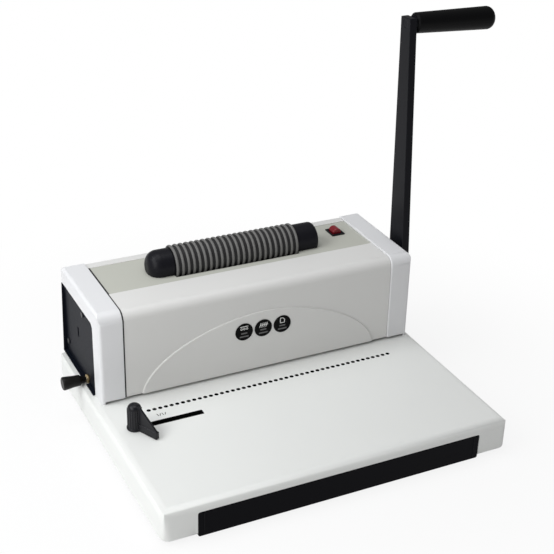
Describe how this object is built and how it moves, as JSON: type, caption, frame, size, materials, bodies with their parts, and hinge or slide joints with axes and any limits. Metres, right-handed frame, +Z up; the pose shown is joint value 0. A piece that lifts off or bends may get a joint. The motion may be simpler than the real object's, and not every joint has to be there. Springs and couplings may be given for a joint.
{
  "type": "coil binding machine",
  "caption": "Desk coil binding machine: side lever punches a row of holes along a sheet's edge, a motor roller spins the coil in, a drawer catches chips.",
  "frame": {"origin": "on the table, under the middle of the base's outline", "axes": "+X to the lever side, -Y to the user, +Z up"},
  "size_m": [0.5112, 0.32, 0.4011],
  "materials": {
    "white_paint": "fine satin paint",
    "cover_white": "fine satin",
    "cap_white": "smooth satin",
    "olive_grey": "fine matt",
    "plate_blue": "satin paint",
    "black_paint": "satin paint",
    "black_plastic": "satin",
    "rubber_grey": "matt",
    "rubber_black": "matt",
    "steel": "bright",
    "dark_steel": "dark",
    "bronze": "plain",
    "red_plastic": "gloss"
  },
  "bodies": {
    "frame": {"base_deck": "white_paint", "base_pan": "dark_steel", "rubber_feet": "rubber_black", "pan_screws": "steel", "drawer_runners": "steel", "left_side_plate": "plate_blue", "right_side_plate": "plate_blue", "plate_screws": "steel", "tie_bars": "steel", "frame_screws": "dark_steel", "front_cover": "cover_white", "badge_discs": "black_plastic", "top_panel": "olive_grey", "rear_cover": "cover_white", "cover_screws": "steel", "left_end_cap": "cap_white", "right_end_cap": "cap_white", "die_plate": "steel", "throat_spacers": "steel", "pin_guide_plate": "steel", "beam_guides": "dark_steel", "shaft_bushes": "bronze", "margin_bushes": "bronze", "return_springs": "steel", "roller_support_left": "black_plastic", "roller_support_right": "black_plastic", "roller_bearings": "bronze", "motor_body": "steel", "motor_bracket": "dark_steel", "drive_belt": "rubber_black", "switch_housing": "black_plastic", "power_inlet": "black_plastic"},
    "lever": {"punch_shaft": "steel", "drive_pinions": "steel", "lever_arm": "black_paint", "grip_stud": "dark_steel", "lever_grip": "black_plastic", "lever_screw": "steel"},
    "beam": {"punch_beam": "dark_steel", "punch_pins": "steel", "beam_racks": "steel", "rack_screws": "dark_steel", "spring_lugs": "steel"},
    "guide_carriage": {"guide_slider": "steel"},
    "guide": {"edge_guide": "black_plastic"},
    "roller": {"roller_shaft": "steel", "roller_core": "black_plastic", "roller_sleeve": "rubber_grey", "roller_pulley": "black_plastic"},
    "motor_spindle": {"motor_pulley": "black_plastic"},
    "rocker": {"switch_rocker": "red_plastic"},
    "margin_stop": {"margin_rod": "steel", "margin_knob": "black_plastic"},
    "drawer": {"drawer_front": "black_plastic", "drawer_tray": "black_plastic", "drawer_sides": "black_plastic"}
  },
  "joints": [
    {"name": "lever_hinge", "type": "hinge", "parent": "frame", "child": "lever", "pos_m": [0, 0.075, 0.09799], "axis": [1, 0, 0], "range_deg": [0, 75], "stiffness_Nm_per_rad": 0.5, "springref_deg": -68.75},
    {"name": "beam_slide", "type": "slide", "parent": "frame", "child": "beam", "axis": [0, 0, -1], "range_m": [0, 0.01375], "deforming": ["return_springs"]},
    {"name": "guide_slide", "type": "slide", "parent": "frame", "child": "guide_carriage", "axis": [1, 0, 0], "range_m": [-0.0024, 0.0706]},
    {"name": "guide_turn", "type": "hinge", "parent": "guide_carriage", "child": "guide", "pos_m": [-0.16675, -0.019, 0.039], "axis": [0, 0, 1], "range_deg": [-90, 90]},
    {"name": "roller_spin", "type": "hinge", "parent": "frame", "child": "roller", "pos_m": [0, 0.1102, 0.148], "axis": [1, 0, 0], "continuous": true},
    {"name": "motor_spin", "type": "hinge", "parent": "frame", "child": "motor_spindle", "pos_m": [0, 0.1242, 0.08], "axis": [1, 0, 0], "continuous": true},
    {"name": "rocker_tilt", "type": "hinge", "parent": "frame", "child": "rocker", "pos_m": [0.1336, 0.1228, 0.1419], "axis": [0, 1, 0], "range_deg": [0, 16]},
    {"name": "margin_turn", "type": "hinge", "parent": "frame", "child": "margin_stop", "pos_m": [0, 0.084, 0.0432], "axis": [1, 0, 0], "range_deg": [0, 180]},
    {"name": "drawer_slide", "type": "slide", "parent": "frame", "child": "drawer", "axis": [0, -1, 0], "range_m": [0, 0.2]}
  ],
  "couplings": [
    {"joint": "beam_slide", "follows": "lever_hinge", "m_per_rad": 0.0105},
    {"joint": "motor_spin", "follows": "roller_spin", "ratio": 1}
  ]
}
